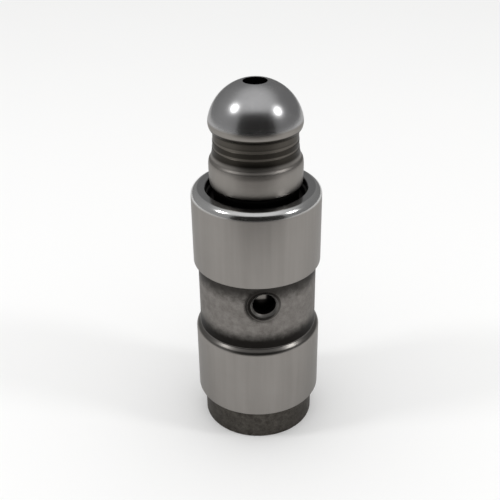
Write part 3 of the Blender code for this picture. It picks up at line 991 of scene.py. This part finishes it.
def makeCards():
    # A dark card stands in front of the tappet, behind the camera, and a grey one lies before its foot.
    turn = studio["cameraTurn"]
    toFront = Vector((math.sin(turn), -math.cos(turn), 0))
    toRight = Vector((math.cos(turn), math.sin(turn), 0))
    far, near = studio["darkDistance"], studio["greyNear"]
    place = toFront * far + toRight * studio["darkSide"] + Vector((0, 0, studio["darkHeight"] / 2))
    size = (studio["darkWidth"], studio["darkHeight"])
    makeCard("dark_card", size, place, (math.pi / 2, 0, turn), studio["darkColour"])
    place = toFront * (far + near) / 2 + Vector((0, 0, studio["greyHeight"]))
    makeCard("grey_card", (studio["greyWidth"], far - near), place, (0, 0, turn), studio["greyColour"])


def makeLamps():
    aim = Vector((0, 0, studio["aimHeight"] * mm))
    for number, (azimuth, elevation, distance, width, height) in enumerate(studio["lamps"]):
        light = bpy.data.lights.new(f"lamp{number}", "AREA")
        light.shape = "ELLIPSE"
        light.size = width * mm
        light.size_y = height * mm
        light.energy = studio["lampPower"]
        lamp = bpy.data.objects.new(light.name, light)
        bpy.context.scene.collection.objects.link(lamp)
        lamp.location = around(azimuth, elevation, distance)
        lamp.rotation_euler = (aim - lamp.location).to_track_quat("-Z", "Y").to_euler()
        lamp.visible_camera = False
    print("lamps ready")


def makeWorld():
    world = bpy.data.worlds.new("white_tent")
    world.use_nodes = True
    bpy.context.scene.world = world
    root = Shade(world.node_tree)
    camera = root.node("ShaderNodeLightPath", output="Is Camera Ray")
    glossy = root.node("ShaderNodeLightPath", output="Is Glossy Ray")
    through = root.node("ShaderNodeLightPath", output="Is Transmission Ray")
    seen = camera.most(glossy).most(through)
    strength = studio["worldLight"] + seen * (1 - studio["worldLight"])
    background = world.node_tree.nodes["Background"]
    background.inputs["Color"].default_value = (1, 1, 1, 1)
    world.node_tree.links.new(strength.socket, background.inputs["Strength"])
    print("world ready")


# Camera

cameraSettings = {
    "place": (-8.26, -69.98, 58.02),
    "tilt": math.radians(90 - 29.4),
    "roll": math.radians(-0.862),
    "lens": 61.53,
    "sensor": 36,
    "nearest": 5,
    "farthest": 5000,
}


def makeCamera():
    data = bpy.data.cameras.new("camera")
    data.lens = cameraSettings["lens"]
    data.sensor_width = cameraSettings["sensor"]
    data.clip_start = cameraSettings["nearest"] * mm
    data.clip_end = cameraSettings["farthest"] * mm
    camera = bpy.data.objects.new("camera", data)
    bpy.context.scene.collection.objects.link(camera)
    camera.location = Vector(cameraSettings["place"]) * mm
    turned = Matrix.Rotation(studio["cameraTurn"], 3, "Z") @ Matrix.Rotation(cameraSettings["tilt"], 3, "X")
    camera.rotation_euler = (turned @ Matrix.Rotation(cameraSettings["roll"], 3, "Z")).to_euler()
    bpy.context.scene.camera = camera
    print("camera ready")


makeCamera()
makeWorld()
makeFloor()
makeTent()
makeCards()
makeLamps()

finishPiece(makeBody(), bodyFinish(), "body", "body")
finishPiece(makeBallPlunger(), plungerFinish(), "ball_plunger", "ball_plunger")

ringSteel = wireFinish("ring_steel", ringSettings)
finishPiece(makeSnapRing(), ringSteel, "body", "retaining_ring")

lowerSteel = innerFinish("lower_plunger_steel", lowerPlunger)
finishPiece(makeLowerPlunger(), lowerSteel, "lower_plunger", "lower_plunger")

ballSteel = innerFinish("bearing_steel", checkBall)
finishPiece(makeCheckBall(), ballSteel, "check_ball", "check_ball")

cageSteel = innerFinish("cage_steel", ballCage)
finishPiece(makeCage(), cageSteel, "lower_plunger", "check_ball_cage")

springSteel = wireFinish("plunger_spring_steel", plungerSpring)
mainSpring = windSpring("return_spring", plungerSpring, "plunger_spring")
finishPiece(mainSpring, springSteel, "body", "plunger_spring")
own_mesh(mainSpring)

valveSteel = wireFinish("check_spring_steel", checkSpring)
smallSpring = windSpring("valve_spring", checkSpring, "check_ball_spring")
finishPiece(smallSpring, valveSteel, "lower_plunger", "check_ball_spring")
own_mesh(smallSpring)

bpy.context.scene.view_settings.view_transform = "Standard"
